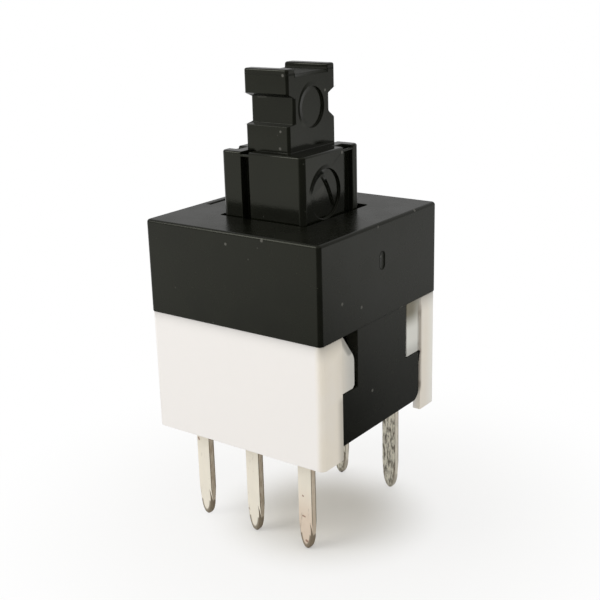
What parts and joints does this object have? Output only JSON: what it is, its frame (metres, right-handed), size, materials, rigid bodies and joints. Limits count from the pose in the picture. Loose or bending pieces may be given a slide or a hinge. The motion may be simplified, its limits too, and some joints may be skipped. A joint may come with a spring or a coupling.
{
  "type": "self locking push switch",
  "caption": "Square self locking push switch for a circuit board: black cover and snap-head plunger, white base with flat pins, two poles.",
  "frame": {"origin": "centre of the seat plane, the lowest face of the base, where the switch sits on the board", "axes": "+Z along the plunger, away from the board; X along a row of pins; +X and -X are the sides with the cover's legs"},
  "size_m": [0.008, 0.008, 0.0178],
  "materials": {
    "base_plastic": "milky white moulded nylon, fine grain",
    "cover_plastic": "matt black moulded plastic",
    "plunger_plastic": "satin black moulded plastic",
    "contact_bronze": "silvered phosphor bronze strip",
    "spring_steel": "bright drawn wire",
    "pin_tin": "dull tin plate with specks"
  },
  "bodies": {
    "housing": {"base": "base_plastic", "cover": "cover_plastic", "return_spring": "spring_steel", "terminal_front_1": "pin_tin", "terminal_front_2": "pin_tin", "terminal_front_3": "pin_tin", "terminal_back_1": "pin_tin", "terminal_back_2": "pin_tin", "terminal_back_3": "pin_tin"},
    "plunger": {"plunger": "plunger_plastic", "contact_clip_back": "contact_bronze", "contact_clip_front": "contact_bronze"},
    "lock_wire": {"lock_wire": "spring_steel"}
  },
  "joints": [
    {"name": "plunger_slide", "type": "slide", "parent": "housing", "child": "plunger", "axis": [0, 0, -1], "range_m": [0, 0.002], "stiffness_N_per_m": 300, "deforming": ["return_spring"]},
    {"name": "lock_wire_swing", "type": "hinge", "parent": "housing", "child": "lock_wire", "pos_m": [0.0028, 0, 0.0013], "axis": [1, 0, 0], "range_deg": [0, 13.71]}
  ],
  "couplings": [
    {"joint": "lock_wire_swing", "follows": "plunger_slide", "rad_per_m": 119.55}
  ]
}
